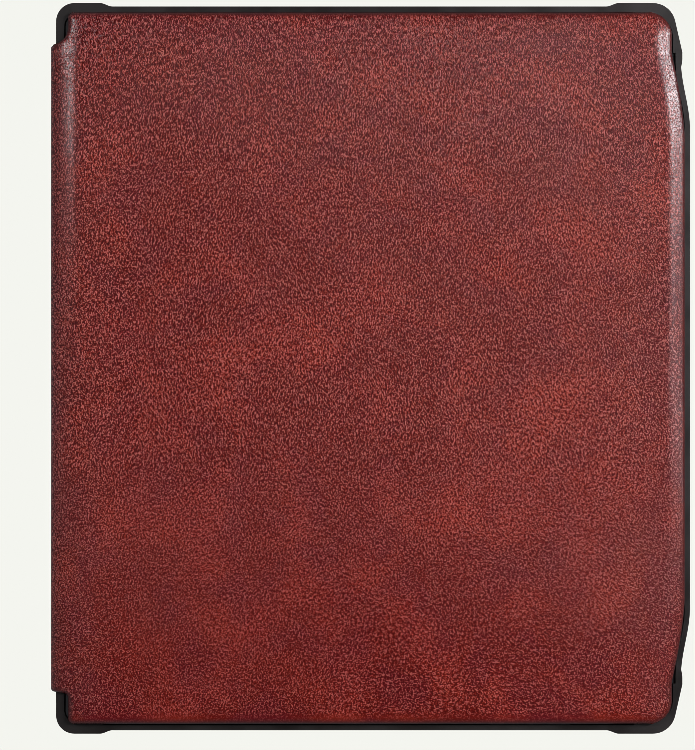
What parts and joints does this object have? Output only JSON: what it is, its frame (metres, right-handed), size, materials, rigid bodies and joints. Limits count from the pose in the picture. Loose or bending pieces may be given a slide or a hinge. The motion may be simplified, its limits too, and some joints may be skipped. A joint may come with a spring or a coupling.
{
  "type": "e-reader",
  "caption": "E-reader shut in a book-style folio case: a moulded tray with corner guards, and a leather flap that folds open about a leather spine.",
  "frame": {"origin": "middle of the bounding box at its base, on the plane that the back of the case rests on", "axes": "+X across the width from the spine to the grip side, +Y up the page, +Z from the back of the case to the closed flap"},
  "size_m": [0.1396, 0.1596, 0.0126],
  "materials": {
    "tray_plastic": "fine satin moulded texture",
    "leather": "grained, semi-gloss, mottled",
    "microfibre": "short brushed nap",
    "board": "raw grey board",
    "magnet": "nickel plated",
    "housing_plastic": "fine grain, matte",
    "bezel_plastic": "soft touch, matte",
    "button_plastic": "satin",
    "battery_foil": "laminated pouch foil",
    "adhesive_tape": "double-sided tape",
    "adhesive_black": "black foam adhesive",
    "wire": "insulated wire",
    "wire_black": "insulated coaxial lead",
    "circuit_board": "green solder mask",
    "connector_plastic": "moulded",
    "chip": "moulded epoxy",
    "shield_metal": "tinned steel",
    "antenna_metal": "plated",
    "port_metal": "drawn steel",
    "seal_rubber": "silicone",
    "clear_plastic": "clear acrylic",
    "screw_steel": "zinc plated",
    "frame_metal": "cast and bead blasted",
    "epaper": "paper white",
    "screen_surface": "etched anti-glare face over the paper-white display",
    "touch_film": "clear film",
    "flex": "polyimide",
    "lamp_strip": "white lamps on a flexible strip"
  },
  "bodies": {
    "reader_in_tray": {"case_shell": "tray_plastic", "back_leather": "leather", "rear_housing": "housing_plastic", "reader_magnets": "magnet", "battery": "battery_foil", "battery_tape": "adhesive_tape", "battery_lead": "wire", "main_board": "circuit_board", "board_connectors": "connector_plastic", "processor_chip": "chip", "processor_shield": "shield_metal", "memory_chip": "chip", "radio_module": "shield_metal", "hall_sensor": "chip", "wifi_antenna": "antenna_metal", "antenna_lead": "wire_black", "usb_port": "port_metal", "usb_seal": "seal_rubber", "status_light": "clear_plastic", "board_screws": "screw_steel", "mid_frame": "frame_metal", "frame_screws": "screw_steel", "epaper_panel": "epaper", "display_flex": "flex", "light_guide": "clear_plastic", "led_bar": "lamp_strip", "touch_sensor": "touch_film", "screen_glass": "screen_surface", "bezel_adhesive": "adhesive_black", "front_bezel": "bezel_plastic", "button_board": "circuit_board", "dome_switches": "shield_metal", "button_flex": "flex", "button_gaskets": "seal_rubber", "power_switch": "shield_metal"},
    "spine": {"spine_leather": "leather", "spine_lining": "microfibre"},
    "flap": {"cover_leather": "leather", "cover_board": "board", "cover_lining": "microfibre", "cover_magnets": "magnet", "wake_magnet": "magnet"},
    "page_forward": {"page_forward_button": "button_plastic"},
    "page_back": {"page_back_button": "button_plastic"},
    "power_key": {"power_button": "button_plastic"}
  },
  "joints": [
    {"name": "spine_fold", "type": "hinge", "parent": "reader_in_tray", "child": "spine", "pos_m": [-0.06985, 0, 0], "axis": [0, -1, 0], "range_deg": [0, 90]},
    {"name": "cover_flip", "type": "hinge", "parent": "spine", "child": "flap", "pos_m": [-0.06985, 0, 0.0129], "axis": [0, -1, 0], "range_deg": [0, 270]},
    {"name": "page_forward_press", "type": "slide", "parent": "reader_in_tray", "child": "page_forward", "axis": [0, 0, -1], "range_m": [0, 0.00035], "stiffness_N_per_m": 1500},
    {"name": "page_back_press", "type": "slide", "parent": "reader_in_tray", "child": "page_back", "axis": [0, 0, -1], "range_m": [0, 0.00035], "stiffness_N_per_m": 1500},
    {"name": "power_press", "type": "slide", "parent": "reader_in_tray", "child": "power_key", "axis": [0, 1, 0], "range_m": [0, 0.0004], "stiffness_N_per_m": 1500}
  ]
}
